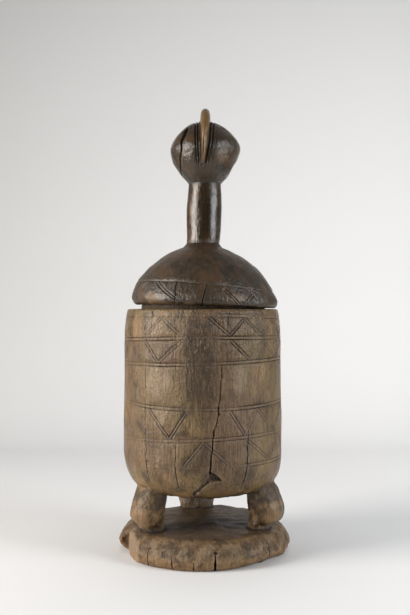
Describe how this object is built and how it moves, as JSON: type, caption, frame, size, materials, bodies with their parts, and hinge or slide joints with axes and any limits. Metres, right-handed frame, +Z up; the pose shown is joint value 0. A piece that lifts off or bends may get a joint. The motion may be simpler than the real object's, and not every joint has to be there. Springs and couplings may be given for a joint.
{
  "type": "lidded wooden pot",
  "caption": "Carved wooden pot on bent legs and a round base, with incised bands and a lift-off domed lid whose neck, ball head and crest are its handle.",
  "frame": {"origin": "centre of the base's underside, on the floor", "axes": "+Z up along the pot and the lid's lift, -Y towards the front with the carved crest's grooves, +X to the viewer's right"},
  "size_m": [0.217, 0.217, 0.5634],
  "materials": {
    "pot_wood": "dry aged wood, worn satin on the knees and the edges",
    "lid_wood": "dark handled wood, semi-gloss on the neck and the head"
  },
  "bodies": {
    "pot": {"pot": "pot_wood"},
    "lid": {"lid": "lid_wood"}
  },
  "joints": [
    {"name": "lid_lift", "type": "slide", "parent": "pot", "child": "lid", "axis": [0, 0, 1], "range_m": [0, 0.18]}
  ]
}
